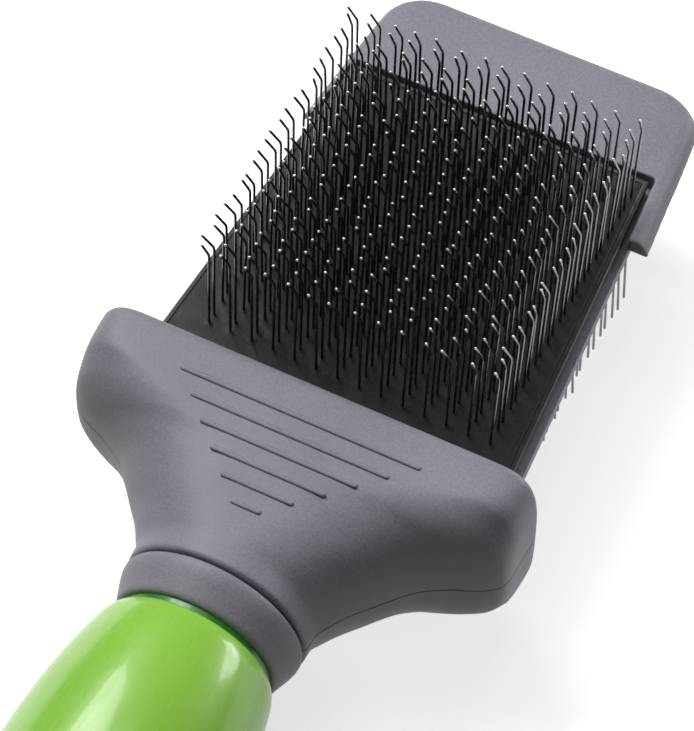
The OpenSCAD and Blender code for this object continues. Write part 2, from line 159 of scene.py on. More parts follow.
# %% Spark-eroded ABS
def spark_eroded_abs(name, dark, light, grain_mm=0.34, rough=0.5):
    material, tree, skin, place = start_material(name, IOR=1.53, Roughness=rough, Specular_IOR_Level=0.35)
    grain = add(tree, "ShaderNodeTexNoise", values={"Scale": per_mm(grain_mm), "Detail": 2.0},
                links={"Vector": place})
    cloud = add(tree, "ShaderNodeTexNoise", values={"Scale": per_mm(14), "Detail": 3.0},
                links={"Vector": place})
    both = add(tree, "ShaderNodeMath", {"operation": "MULTIPLY_ADD"}, {1: 0.45},
               {0: cloud.outputs["Fac"], 2: grain.outputs["Fac"]})
    tone = add(tree, "ShaderNodeMapRange",
               values={"From Min": 0.42, "From Max": 1.02, "To Min": 0.0, "To Max": 1.0},
               links={"Value": both.outputs[0]})
    mix = add(tree, "ShaderNodeMix", {"data_type": "RGBA"}, {6: linear(dark), 7: linear(light)},
              {0: tone.outputs[0]})
    tree.links.new(mix.outputs[2], skin.inputs["Base Color"])
    dull = add(tree, "ShaderNodeMapRange",
               values={"From Min": 0.3, "From Max": 0.7, "To Min": rough - 0.06, "To Max": rough + 0.08},
               links={"Value": grain.outputs["Fac"]})
    tree.links.new(dull.outputs[0], skin.inputs["Roughness"])
    bump = add(tree, "ShaderNodeBump", values={"Strength": 0.35, "Distance": 0.05 * MM},
               links={"Height": grain.outputs["Fac"]})
    tree.links.new(bump.outputs[0], skin.inputs["Normal"])
    return material


GREY_ABS = spark_eroded_abs("grey_abs_spark_eroded", "#85818D", "#A09CA8")
# The frame plate is grey ABS too, but its grey is lighter than the shoulder's by painted light, for rails
# that the lamps leave in shade.
FRAME_ABS_PAINTED_LIGHT = spark_eroded_abs("grey_abs_frame_plate_painted_light", "#918D99", "#ABA7B3", grain_mm=0.5, rough=0.55)
STEM_NYLON = spark_eroded_abs("dark_glass_filled_nylon", "#4A4852", "#63616B", rough=0.6)
print("made", GREY_ABS.name, FRAME_ABS_PAINTED_LIGHT.name, STEM_NYLON.name)

# %% [markdown]
# ## Green ABS from a polished mould
# The grip comes from a polished mould, so it is glossy and shows the lamps as long soft streaks. Glossy
# mouldings are never perfectly flat: the surface waves slightly over a few millimetres where the
# plastic shrank. A weak, wide bump gives that. Fine handling scratches change the roughness.

# %% Polished green ABS
def polished_abs(name, dark, light, rough=0.2, coat=0.5):
    material, tree, skin, place = start_material(
        name, IOR=1.53, Roughness=rough, Coat_Weight=coat, Coat_Roughness=0.08)
    cloud = add(tree, "ShaderNodeTexNoise", values={"Scale": per_mm(22), "Detail": 2.0},
                links={"Vector": place})
    mix = add(tree, "ShaderNodeMix", {"data_type": "RGBA"}, {6: linear(dark), 7: linear(light)},
              {0: cloud.outputs["Fac"]})
    tree.links.new(mix.outputs[2], skin.inputs["Base Color"])
    along = add(tree, "ShaderNodeMapping", values={"Scale": (6.0, 0.6, 6.0)}, links={"Vector": place})
    scratch = add(tree, "ShaderNodeTexNoise", values={"Scale": per_mm(3.5), "Detail": 6.0},
                  links={"Vector": along.outputs[0]})
    dull = add(tree, "ShaderNodeMapRange",
               values={"From Min": 0.35, "From Max": 0.7, "To Min": rough - 0.04, "To Max": rough + 0.1},
               links={"Value": scratch.outputs["Fac"]})
    tree.links.new(dull.outputs[0], skin.inputs["Roughness"])
    wave = add(tree, "ShaderNodeTexNoise", values={"Scale": per_mm(7), "Detail": 1.0},
               links={"Vector": place})
    bump = add(tree, "ShaderNodeBump", values={"Strength": 0.12, "Distance": 0.15 * MM},
               links={"Height": wave.outputs["Fac"]})
    tree.links.new(bump.outputs[0], skin.inputs["Normal"])
    return material


GREEN_ABS = polished_abs("green_abs_polished", "#95D545", "#A1DF52", rough=0.3, coat=0.3)
# The core shows only as a thin ring between the collar and the grip; its dark green is painted shade for that
# recess.
CORE_GREEN_PAINTED_SHADE = polished_abs("green_abs_core_painted_shade", "#2A7428", "#358434", rough=0.3, coat=0.2)
BUTT_GREEN = polished_abs("green_abs_butt_cap", "#72B72E", "#7FC238", rough=0.24, coat=0.4)
print("made", GREEN_ABS.name, CORE_GREEN_PAINTED_SHADE.name, BUTT_GREEN.name)

# %% [markdown]
# ## Black rubber, black ABS and woven backing
# The pins stand in a sheet of black rubber that is pierced by every leg. Rubber is nearly black, dull,
# and picks up pale dust, so it looks blotchy and not evenly dark. The woven backing under it is cotton
# duck, with threads about 0.4 mm apart. The trays around them are smooth black ABS.

# %% Rubber
def moulded_rubber(name, dark, light, rough=0.72):
    material, tree, skin, place = start_material(name, IOR=1.52, Roughness=rough)
    dust = add(tree, "ShaderNodeTexNoise", values={"Scale": per_mm(1.6), "Detail": 6.0, "Roughness": 0.65},
               links={"Vector": place})
    fleck = add(tree, "ShaderNodeTexNoise", values={"Scale": per_mm(0.4), "Detail": 2.0},
                links={"Vector": place})
    both = add(tree, "ShaderNodeMath", {"operation": "MULTIPLY_ADD"}, {1: 0.6},
               {0: fleck.outputs["Fac"], 2: dust.outputs["Fac"]})
    tone = add(tree, "ShaderNodeMapRange",
               values={"From Min": 0.62, "From Max": 1.05, "To Min": 0.0, "To Max": 1.0},
               links={"Value": both.outputs[0]})
    mix = add(tree, "ShaderNodeMix", {"data_type": "RGBA"}, {6: linear(dark), 7: linear(light)},
              {0: tone.outputs[0]})
    tree.links.new(mix.outputs[2], skin.inputs["Base Color"])
    dull = add(tree, "ShaderNodeMapRange",
               values={"From Min": 0.3, "From Max": 0.7, "To Min": rough - 0.1, "To Max": rough + 0.1},
               links={"Value": dust.outputs["Fac"]})
    tree.links.new(dull.outputs[0], skin.inputs["Roughness"])
    bump = add(tree, "ShaderNodeBump", values={"Strength": 0.5, "Distance": 0.08 * MM},
               links={"Height": both.outputs[0]})
    tree.links.new(bump.outputs[0], skin.inputs["Normal"])
    return material


BLACK_RUBBER = moulded_rubber("black_rubber_sheet", "#0C0B0F", "#2E2A34", rough=0.62)
BUSH_RUBBER = moulded_rubber("black_rubber_bush", "#17171A", "#26262A", rough=0.65)
print("made", BLACK_RUBBER.name, BUSH_RUBBER.name)


# %% Smooth black ABS
def moulded_black(name, dark, light, rough=0.4):
    material, tree, skin, place = start_material(name, IOR=1.53, Roughness=rough)
    cloud = add(tree, "ShaderNodeTexNoise", values={"Scale": per_mm(5), "Detail": 4.0},
                links={"Vector": place})
    mix = add(tree, "ShaderNodeMix", {"data_type": "RGBA"}, {6: linear(dark), 7: linear(light)},
              {0: cloud.outputs["Fac"]})
    tree.links.new(mix.outputs[2], skin.inputs["Base Color"])
    dull = add(tree, "ShaderNodeMapRange",
               values={"From Min": 0.3, "From Max": 0.7, "To Min": rough - 0.08, "To Max": rough + 0.1},
               links={"Value": cloud.outputs["Fac"]})
    tree.links.new(dull.outputs[0], skin.inputs["Roughness"])
    grain = add(tree, "ShaderNodeTexNoise", values={"Scale": per_mm(0.5), "Detail": 1.0},
                links={"Vector": place})
    bump = add(tree, "ShaderNodeBump", values={"Strength": 0.15, "Distance": 0.03 * MM},
               links={"Height": grain.outputs["Fac"]})
    tree.links.new(bump.outputs[0], skin.inputs["Normal"])
    return material


BLACK_ABS = moulded_black("black_abs_tray", "#100F12", "#1C1B20")
print("made", BLACK_ABS.name)


# %% Cotton duck
def woven_duck(name, dark, light, thread_mm=0.4):
    material, tree, skin, place = start_material(name, Roughness=0.9, Sheen_Weight=0.2)
    wave = per_mm(thread_mm) / (2 * math.pi)
    warp = add(tree, "ShaderNodeTexWave", {"bands_direction": "X", "wave_profile": "SIN"},
               {"Scale": wave, "Distortion": 0.4, "Detail": 1.0}, {"Vector": place})
    weft = add(tree, "ShaderNodeTexWave", {"bands_direction": "Y", "wave_profile": "SIN"},
               {"Scale": wave, "Distortion": 0.4, "Detail": 1.0}, {"Vector": place})
    cross = add(tree, "ShaderNodeMath", {"operation": "MAXIMUM"}, None,
                {0: warp.outputs["Fac"], 1: weft.outputs["Fac"]})
    mix = add(tree, "ShaderNodeMix", {"data_type": "RGBA"}, {6: linear(dark), 7: linear(light)},
              {0: cross.outputs[0]})
    tree.links.new(mix.outputs[2], skin.inputs["Base Color"])
    bump = add(tree, "ShaderNodeBump", values={"Strength": 0.6, "Distance": 0.1 * MM},
               links={"Height": cross.outputs[0]})
    tree.links.new(bump.outputs[0], skin.inputs["Normal"])
    return material


COTTON_DUCK = woven_duck("charcoal_cotton_duck", "#242427", "#46464A")
print("made", COTTON_DUCK.name)

# %% [markdown]
# ## Drawn steel wire
# The pins are hard-drawn steel wire with a dark, oiled skin, so they look almost black except where
# they catch a lamp along their length. Drawing leaves fine lines along the wire. The ends were cut
# and polished afterwards, which takes the dark skin off: each tip is a bright dot.

# %% Wire and plated steel
def drawn_steel(name, dark, light, rough=0.3, streak_mm=0.25):
    material, tree, skin, place = start_material(name, Metallic=1.0, Roughness=rough)
    along = add(tree, "ShaderNodeMapping", values={"Scale": (1.0, 1.0, 0.12)}, links={"Vector": place})
    streak = add(tree, "ShaderNodeTexNoise", values={"Scale": per_mm(streak_mm), "Detail": 3.0},
                 links={"Vector": along.outputs[0]})
    mix = add(tree, "ShaderNodeMix", {"data_type": "RGBA"}, {6: linear(dark), 7: linear(light)},
              {0: streak.outputs["Fac"]})
    tree.links.new(mix.outputs[2], skin.inputs["Base Color"])
    dull = add(tree, "ShaderNodeMapRange",
               values={"From Min": 0.3, "From Max": 0.7, "To Min": rough - 0.08, "To Max": rough + 0.12},
               links={"Value": streak.outputs["Fac"]})
    tree.links.new(dull.outputs[0], skin.inputs["Roughness"])
    bump = add(tree, "ShaderNodeBump", values={"Strength": 0.2, "Distance": 0.01 * MM},
               links={"Height": streak.outputs["Fac"]})
    tree.links.new(bump.outputs[0], skin.inputs["Normal"])
    return material


OILED_WIRE = drawn_steel("steel_wire_oiled_dark", "#4E4E54", "#97979E", rough=0.22)
CUT_TIP = drawn_steel("steel_wire_cut_tip", "#E4E4E8", "#FAFAFA", rough=0.35)
ZINC_STEEL = drawn_steel("zinc_plated_steel", "#9DA0A4", "#C6C8CC", rough=0.3, streak_mm=0.6)
print("made", OILED_WIRE.name, CUT_TIP.name, ZINC_STEEL.name)

# %% [markdown]
# ## Mesh helpers
# Most pieces here are turned or lofted, so one helper makes a mesh from rows of points. Each row is a
# ring, and neighbouring rings are joined by quads. A second helper passes a smooth curve through a
# few measured points without overshooting between them, which keeps a flat stretch flat.

# %% Rows of points to a mesh
def smooth_by_angle(piece, degrees=40):
    piece.data.shade_smooth()
    piece.data.set_sharp_from_angle(angle=math.radians(degrees))


def make_piece(name, points, faces, material, degrees=40):
    mesh = bpy.data.meshes.new(name)
    mesh.from_pydata([tuple(p) for p in points], [], [tuple(f) for f in faces])
    mesh.validate()
    mesh.materials.append(material)
    piece = bpy.data.objects.new(name, mesh)
    bpy.context.collection.objects.link(piece)
    smooth_by_angle(piece, degrees)
    return piece


def face_outwards(piece):
    """Turn every face of a closed mesh to look outwards."""
    work = bmesh.new()
    work.from_mesh(piece.data)
    bmesh.ops.recalc_face_normals(work, faces=work.faces)
    work.to_mesh(piece.data)
    work.free()


def grid_faces(rows, cols, wrap_cols=True, wrap_rows=False, first=0):
    faces = []
    for r in range(rows if wrap_rows else rows - 1):
        for c in range(cols if wrap_cols else cols - 1):
            a, b = first + r * cols + c, first + r * cols + (c + 1) % cols
            d, e = first + ((r + 1) % rows) * cols + c, first + ((r + 1) % rows) * cols + (c + 1) % cols
            faces.append((a, b, e, d))
    return faces


def ease_through(xs, ys, x):
    """A smooth curve through (xs, ys) that never overshoots, read at x."""
    xs, ys, x = np.array(xs, float), np.array(ys, float), np.array(x, float)
    h = np.diff(xs)
    d = np.diff(ys) / h
    m = np.empty(len(xs))
    m[0], m[-1] = d[0], d[-1]
    same = d[:-1] * d[1:] > 0
    m[1:-1] = np.where(same, 2 * d[:-1] * d[1:] / np.where(same, d[:-1] + d[1:], 1), 0)
    i = np.clip(np.searchsorted(xs, x) - 1, 0, len(h) - 1)
    t = (x - xs[i]) / h[i]
    return ((2 * t**3 - 3 * t**2 + 1) * ys[i] + (t**3 - 2 * t**2 + t) * h[i] * m[i]
            + (3 * t**2 - 2 * t**3) * ys[i + 1] + (t**3 - t**2) * h[i] * m[i + 1])


def turned(name, profile, material, sides=128, closed=True):
    """Turn (y, radius) points round the handle axis. Radius 0 makes a closed end."""
    points = []
    for y, r in profile:
        for k in range(sides):
            a = 2 * math.pi * k / sides
            points.append((r * math.cos(a) * MM, y * MM, r * math.sin(a) * MM))
    faces = grid_faces(len(profile), sides, wrap_rows=closed)
    return make_piece(name, points, faces, material)


def cut(piece, cutter):
    """Take the cutter away from the piece, then throw the cutter away."""
    step = piece.modifiers.new("cut", "BOOLEAN")
    step.operation = "DIFFERENCE"
    step.object = cutter
    step.solver = "EXACT"
    bpy.context.view_layer.update()
    done = bpy.data.meshes.new_from_object(piece.evaluated_get(bpy.context.evaluated_depsgraph_get()))
    piece.modifiers.clear()
    piece.data = done
    bpy.data.objects.remove(cutter)
    smooth_by_angle(piece)


def block(x, y, z):
    """A plain cutter between two limits on each axis, in millimetres."""
    points = [(x[i] * MM, y[j] * MM, z[k] * MM) for i in (0, 1) for j in (0, 1) for k in (0, 1)]
    faces = [(0, 1, 3, 2), (4, 6, 7, 5), (0, 4, 5, 1), (2, 3, 7, 6), (0, 2, 6, 4), (1, 5, 7, 3)]
    return make_piece("cutter", points, faces, BLACK_ABS)


def drill(x, y, z0, z1, r, sides=40):
    """A round cutter that stands along Z."""
    angles = [2 * math.pi * k / sides for k in range(sides)]
    points = [((x + r * math.cos(a)) * MM, (y + r * math.sin(a)) * MM, z * MM)
              for z in (z0, z1) for a in angles]
    faces = grid_faces(2, sides) + [tuple(range(sides - 1, -1, -1)), tuple(range(sides, 2 * sides))]
    return make_piece("cutter", points, faces, BLACK_ABS)


# %% [markdown]
# ## The shoulder
# The shoulder is two ABS shells that meet at the mid-plane. It runs from a round neck to two wide
# lobes, with a flat top. It could be sculpted, but a loft through measured sections is exact and easy
# to change. Each section is a flat top with a rounded side: half width w, half height t, side reach r,
# and a squareness that is 1 for half an ellipse and less for a boxier side. The shells are solid here,
# because nothing shows the inside.

# %% Shoulder sections
Y_WALL = high("shoulder_front")[1]
Y_CREASE = low("shoulder_front")[1]
LOBE = high("shoulder_front")[0]
HALF_T = -low("shoulder_back")[2]
NECK = high("collar")[0]
SHOULDER_L = Y_WALL - Y_CREASE
SECTIONS = [
    # place along, share of the lobe width, side reach, squareness
    (0.0, 0.0, NECK, 1.0), (0.08, 0.005, NECK, 1.0), (0.18, 0.08, 14.6, 0.96), (0.26, 0.165, 15.8, 0.92),
    (0.333, 0.262, 17.4, 0.89), (0.4, 0.35, 18.8, 0.87), (0.472, 0.458, 20.2, 0.85),
    (0.552, 0.65, 23.0, 0.82), (0.593, 0.80, 24.4, 0.78), (0.63, 0.90, 24.4, 0.73),
    (0.67, 0.965, 22.6, 0.67), (0.71, 0.985, 19.0, 0.62), (0.744, 0.99, 15.0, 0.58),
    (0.778, 0.992, 11.0, 0.55), (0.84, 0.995, 8.4, 0.54), (0.92, 1.0, 8.0, 0.54), (1.0, 1.0, 8.0, 0.54)]
ALONG, SHARE, REACH, SQUARE = (list(column) for column in zip(*SECTIONS))


def shoulder_section(y):
    """Half width, side reach, half height and squareness of the section at y."""
    k = (y - Y_CREASE) / SHOULDER_L
    w = NECK + (LOBE - NECK) * float(ease_through(ALONG, SHARE, k))
    r = min(float(ease_through(ALONG, REACH, k)), w - 0.5)
    t = NECK + (HALF_T - NECK) * min(1.0, k / 0.08)
    return w, r, t, float(ease_through(ALONG, SQUARE, k))


print("shoulder from y", round(Y_CREASE, 1), "to", round(Y_WALL, 1), "mm,", round(2 * LOBE, 1), "mm across")


# %% Shoulder shells
def half_ring(w, r, t, square, seam):
    """One section of a shell, from the right seam over the top to the left seam."""
    side = [(w - r + r * math.cos(a) ** square, t * math.sin(a) ** square)
            for a in np.linspace(0, math.pi / 2 - 1e-6, 34)]
    side[0] = (side[0][0], seam)
    side = [(x, max(z, seam + 0.02 * i)) if i else (x, z) for i, (x, z) in enumerate(side)]
    flat = [(x, t) for x in np.linspace(w - r, r - w, 12)[1:-1]]
    return side + flat + [(-x, z) for x, z in reversed(side)]


def shoulder_shell(name, up):
    """One shell as a loft of (y, inset) stations, with the inset rounding both ends."""
    seam = 0.12
    edge = 1.7
    back_edge = 0.7
    stations = [(Y_CREASE + back_edge * (1 - math.cos(a)), back_edge * (1 - math.sin(a)))
                for a in np.linspace(0, math.pi / 2, 6)]
    stations += [(y, 0.0) for y in np.linspace(Y_CREASE + back_edge, Y_WALL - edge, 64)[1:-1]]
    stations += [(Y_WALL - edge + edge * math.sin(a), edge * (1 - math.cos(a)))
                 for a in np.linspace(0, math.pi / 2, 9)]
    points = []
    count = 0
    for y, inset in stations:
        w, r, t, square = shoulder_section(min(y, Y_WALL - edge * 0.2))
        ring = half_ring(w - inset, max(r - inset * 0.3, 1), t - inset, square, seam)
        count = len(ring)
        points += [(x * MM, y * MM, z * up * MM) for x, z in ring]
    faces = grid_faces(len(stations), count)
    first = tuple(range(count))
    last = tuple(range((len(stations) - 1) * count, len(stations) * count))
    faces += [tuple(reversed(first)), last]
    piece = make_piece(name, points, faces, GREY_ABS)
    face_outwards(piece)
    smooth_by_angle(piece)
    return piece


shell_front = shoulder_shell("shoulder_front_shell", 1)
shell_back = shoulder_shell("shoulder_back_shell", -1)
BAR_NEAR = low("frame")[1]
RAIL_X = high("frame")[0] + 0.15
BOSS_R = high("frame")[2] + 0.15
RAIL_Z = 1.1
SLOT_Z = RAIL_Z + 0.15
for shell in (shell_front, shell_back):
    cut(shell, block((-RAIL_X, RAIL_X), (Y_WALL - 3.2, Y_WALL + 2), (-SLOT_Z, SLOT_Z)))
    bore = [(Y_WALL + 2, 0.01), (Y_WALL + 2, BOSS_R), (BAR_NEAR, BOSS_R), (BAR_NEAR, 0.01)]
    cut(shell, turned("bore", bore, BLACK_ABS, sides=64))
print("shells have", len(shell_front.data.polygons), "and", len(shell_back.data.polygons), "faces")

# %% [markdown]
# ## Screw wells, ribs and the parting line
# Four screws come in from the back, so the back shell has four round wells. On the front, six raised
# ribs in a triangle give the thumb a grip. Each rib is a low bar with a rounded back and round ends,
# and it is part of the same moulding as the shell.

# %% Screw wells
HEAD_TOP = -5.5
screw_points = np.array([v.co for v in nodes["shoulder_screws"].data.vertices]) / MM
head_points = screw_points[screw_points[:, 2] < HEAD_TOP]
middle = (low("shoulder_screws")[1] + high("shoulder_screws")[1]) / 2
wells = []
for sx in (-1, 1):
    for near in (True, False):
        group = head_points[(np.sign(head_points[:, 0]) == sx) & ((head_points[:, 1] < middle) == near)]
        wells.append((group[:, :2].max(0) + group[:, :2].min(0)) / 2)
for x, y in wells:
    cut(shell_back, drill(x, y, -HALF_T - 2, -4.9, 2.55))
print("screw wells at", [(round(x, 1), round(y, 1)) for x, y in wells])


# %% Ribs
def rib_points(y, half, width=0.9, height=0.32, rounds=8):
    """A low bar across the shoulder, with a half-round back and half-round ends."""
    r = width / 2
    ends = [(half - r + r * math.cos(a), r * math.sin(a))
            for a in np.linspace(-math.pi / 2, math.pi / 2, rounds)]
    outline = ends + [(-x, v) for x, v in reversed(ends)]
    rows = []
    for s, lift in ((1.0, -0.6), (1.0, 0.0), (0.94, 0.15), (0.78, 0.25), (0.45, 0.31), (0.02, height)):
        rows.append([((x - math.copysign((half - r), x)) * s + math.copysign(half - r, x), y + v * s,
                      HALF_T + lift) for x, v in outline])
    return rows


RIBS = 6
RIB_FIRST, RIB_PITCH = 6.4, 3.28
RIB_HALF, RIB_STEP = 18.9, 3.3
rib_all, rib_faces = [], []
for i in range(RIBS):
    rows = rib_points(Y_WALL - RIB_FIRST - RIB_PITCH * i, RIB_HALF - RIB_STEP * i)
    rib_faces += grid_faces(len(rows), len(rows[0]), first=len(rib_all))
    rib_faces.append(tuple(range(len(rib_all) + (len(rows) - 1) * len(rows[0]),
                                 len(rib_all) + len(rows) * len(rows[0]))))
    rib_all += [(x * MM, y * MM, z * MM) for row in rows for x, y, z in row]
ribs = make_piece("shoulder_ribs", rib_all, rib_faces, GREY_ABS)
print(RIBS, "ribs,", round(RIB_HALF * 2, 1), "mm long at most")

for piece, node in ((shell_front, "shoulder_front"), (shell_back, "shoulder_back")):
    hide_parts(node)
    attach(piece, "handle")
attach(ribs, "handle")

# %% [markdown]
# ## Collar, grip and butt cap
# These are round about the handle axis, so each is a profile that is turned, as on a lathe. The edges
# have small arcs, because moulded edges are never sharp and an arc is what catches the light.

# %% Collar
STEM_BORE = 8.2
Y_COLLAR = Y_CREASE - 0.3
Y_COLLAR_END = low("collar")[1]
COLLAR_L = Y_COLLAR - Y_COLLAR_END
CORE_RING = high("handle_core")[0]
COLLAR_R = CORE_RING + 0.6
profile = [(Y_COLLAR, STEM_BORE), (Y_COLLAR, NECK - 1.6), (Y_COLLAR - 0.02, NECK - 0.75)]
profile += [(Y_COLLAR - v, NECK - 0.75 + u) for u, v in ((0.35, 0.06), (0.62, 0.24), (0.73, 0.5))]
slope = [(1.2, 0.05), (2.2, 0.3), (3.2, 0.62), (4.2, 0.95), (5.0, 1.2)]
profile += [(Y_COLLAR - d * COLLAR_L / 5.9, NECK - drop * (NECK - COLLAR_R) / 1.5) for d, drop in slope]
profile += [(Y_COLLAR_END + 0.35, COLLAR_R + 0.14), (Y_COLLAR_END + 0.1, COLLAR_R - 0.1),
            (Y_COLLAR_END, COLLAR_R - 0.4), (Y_COLLAR_END, STEM_BORE)]
collar = turned("collar_turned", profile, GREY_ABS)
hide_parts("collar")
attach(collar, "handle")
print("collar", round(COLLAR_L, 1), "mm long")

# %% Grip
GRIP_Y0 = high("handle_grip")[1]
GRIP_Y1 = low("handle_grip")[1]
GRIP_R = high("handle_grip")[0]
GRIP_L = GRIP_Y0 - GRIP_Y1
END_R = GRIP_R - 2.6
way = [0.9, 1.8, 4, 9, 16, 26, 36, 0.46 * GRIP_L, 0.62 * GRIP_L, 0.8 * GRIP_L, 0.9 * GRIP_L, GRIP_L - 0.5]
size = [COLLAR_R + 0.6, COLLAR_R + 1.02, COLLAR_R + 1.62, COLLAR_R + 0.62 * (GRIP_R - COLLAR_R),
        COLLAR_R + 0.84 * (GRIP_R - COLLAR_R), GRIP_R - 0.15, GRIP_R, GRIP_R - 0.3, GRIP_R - 1.1,
        END_R + 0.3, END_R, END_R + 0.15]
steps = np.concatenate([np.linspace(0.9, 10, 24)[:-1], np.linspace(10, GRIP_L - 0.5, 70)])
body = list(zip(GRIP_Y0 - steps, ease_through(way, size, steps)))
profile = [(GRIP_Y0, CORE_RING - 1), (GRIP_Y0, COLLAR_R - 0.35), (GRIP_Y0 - 0.12, COLLAR_R - 0.05),
           (GRIP_Y0 - 0.4, COLLAR_R + 0.28)] + body
profile += [(GRIP_Y1 + 0.15, END_R), (GRIP_Y1, END_R - 0.3), (GRIP_Y1, CORE_RING - 1)]
grip = turned("handle_grip_turned", profile, GREEN_ABS)
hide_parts("handle_grip")
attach(grip, "handle")
print("grip", round(GRIP_L), "mm long,", round(2 * GRIP_R, 1), "mm thick at most")

# %% [markdown]
# ## The butt cap
# The handle ends in a shallow round flange with a flat tab and a hang hole. The tab is a plate with a
# rounded rim and a hole: its cross-section is one closed loop, carried round the hole. So it is a ring
# of quads with no cut edges, and the glossy surface stays clean where a boolean would leave slivers.

# %% Butt flange and hanging tab
TAB_HALF = 4.5
HOLE_Y = GRIP_Y1 - 8
HOLE_R = 4.0
reach = [(0, END_R - 0.4), (1.5, END_R - 0.3), (5, END_R - 0.8), (9, END_R - 2.8), (12.5, END_R - 6),
         (14.4, END_R - 9.4), (15, 0)]


def tab_edge(angle):
    """Distance from the hole's centre to the tab's outline, in a direction in the tab's plane."""
    dx, dy = math.cos(angle), math.sin(angle)
    d = HOLE_R + 0.5
    while d < 20:
        x, y = d * dx, HOLE_Y + d * dy
        depth = GRIP_Y1 - y
        if depth < -0.3 or depth > 14.9:
            break
        if abs(x) > float(np.interp(depth, [k[0] for k in reach], [k[1] for k in reach])):
            break
        d += 0.05
    return d


count = 120
angles = [2 * math.pi * k / count for k in range(count)]
raw = np.array([tab_edge(a) for a in angles])
for _ in range(3):
    raw = (np.roll(raw, 1) + raw * 2 + np.roll(raw, -1)) / 4
INNER, OUTER = 0.9, 1.5
section = [(HOLE_R + INNER * (1 - math.cos(t)), TAB_HALF - INNER + INNER * math.sin(t), 0)
           for t in np.linspace(0, math.pi / 2, 6)]
section += [(OUTER * (1 - math.sin(t)), TAB_HALF - OUTER + OUTER * math.cos(t), 1)
            for t in np.linspace(0, math.pi / 2, 8)]
section += [(d, -z, side) for d, z, side in reversed(section)]
points = []
for d, z, side in section:
    for a, rim in zip(angles, raw):
        reach_now = rim - d if side else d
        points.append((reach_now * math.cos(a) * MM, (HOLE_Y + reach_now * math.sin(a)) * MM, z * MM))
tab = make_piece("hanging_tab", points, grid_faces(len(section), count, wrap_rows=True), BUTT_GREEN)
profile = [(GRIP_Y1, 0.01), (GRIP_Y1, END_R - 0.2), (GRIP_Y1 - 0.15, END_R + 0.05)]
profile += [(GRIP_Y1 - 1.4 - math.sin(t), END_R - 0.9 + math.cos(t)) for t in np.linspace(0, math.pi / 2, 7)]
flange = turned("butt_flange", profile + [(GRIP_Y1 - 2.4, 0.01)], BUTT_GREEN)
for piece in (tab, flange):
    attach(piece, "handle")
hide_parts("butt_cap")
print("tab", round(2 * TAB_HALF), "mm thick with a", round(2 * HOLE_R), "mm hole")

# %% [markdown]
# ## Softened plates
# Flat pieces such as the frame plate and the trays already have the right shape. They only lack the
# small rounded edges that every moulding has. This helper copies the mesh, joins the flat triangles
# back into whole faces and bevels the edges that are left.

# %% Softened copies
def softened(node, material, width, body, limit=30):
    """A copy of a CAD node with its edges bevelled by width, standing in for the node."""
    mesh = nodes[node].data.copy()
    work = bmesh.new()
    work.from_mesh(mesh)
    bmesh.ops.remove_doubles(work, verts=work.verts, dist=0.002 * MM)
    bmesh.ops.dissolve_limit(work, angle_limit=math.radians(1), verts=work.verts, edges=work.edges)
    work.to_mesh(mesh)
    work.free()
    mesh.materials.clear()
    mesh.materials.append(material)
    piece = bpy.data.objects.new(node + "_moulded", mesh)
    bpy.context.collection.objects.link(piece)
    step = piece.modifiers.new("edges", "BEVEL")
    step.width = width * MM
    step.segments = 3
    step.limit_method = "ANGLE"
    step.angle_limit = math.radians(limit)
    step.harden_normals = False
    smooth_by_angle(piece)
    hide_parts(node)
    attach(piece, body)


# The frame plate's lighter grey is partly painted light on the rails.
softened("frame", FRAME_ABS_PAINTED_LIGHT, 0.25, "handle")
softened("tray_front", BLACK_ABS, 0.12, "head")
softened("tray_back", BLACK_ABS, 0.12, "head")
print("softened the frame plate and both trays")

# %% [markdown]
# ## The end cap
# The end cap is a thin, rounded moulding with two short arms that lie beside the pad. Its outer shape
# is a loft, like the shoulder. The notch for the pad is cut out of it, and a fine voxel remesh with a
# little smoothing then rounds all the cut edges at once, as a moulded edge is. The texture is matte, so
# the even mesh leaves no ripples that show.

# %% End cap blank
CAP_T = -low("end_cap")[2]
CAP_MID = (high("end_cap")[0] + low("end_cap")[0]) / 2
CAP_X = high("end_cap")[0] - CAP_MID
CAP_Y1 = high("end_cap")[1]
ARM_Y = low("end_cap")[1]
PAD_FAR = high("tray_front")[1]
PAD_NEAR = low("tray_front")[1]
TRAY_HALF_NEAR = (high("tray_front")[0] - low("tray_front")[0]) / 2
FRONT_VERTS = np.array([v.co for v in nodes["tray_front"].data.vertices]) / MM
FAR_VERTS = FRONT_VERTS[FRONT_VERTS[:, 1] > PAD_FAR - 0.2]
TRAY_HALF_FAR = (FAR_VERTS[:, 0].max() - FAR_VERTS[:, 0].min()) / 2
TAPER = (TRAY_HALF_NEAR - TRAY_HALF_FAR) / (PAD_FAR - PAD_NEAR)


def tray_half(y):
    return TRAY_HALF_NEAR - TAPER * (y - PAD_NEAR)


OVER = CAP_X - tray_half(ARM_Y)
DRAFT, DRAFT_Z = 0.42, 1.3
cap_at = [ARM_Y, CAP_Y1 - 8, CAP_Y1 - 5, CAP_Y1 - 3, CAP_Y1 - 1.5, CAP_Y1 - 0.6, CAP_Y1 - 0.15, CAP_Y1]
w_end = tray_half(CAP_Y1) + OVER - 0.6
cap_w = [CAP_X, w_end + 0.5, w_end + 0.1, w_end - 0.8, w_end - 2.3, w_end - 3.9, w_end - 5.2, w_end - 6.4]
cap_r = [2.6, 2.8, 3.0, 3.2, 3.4, 3.5, 3.6, 3.6]
cap_h = [CAP_T, CAP_T, CAP_T, CAP_T, CAP_T - 0.1, CAP_T - 0.45, CAP_T - 0.9, CAP_T - 1.4]
stations = np.concatenate([np.linspace(ARM_Y, CAP_Y1 - 8, 24)[:-1], np.linspace(CAP_Y1 - 8, CAP_Y1, 34)])
points = []
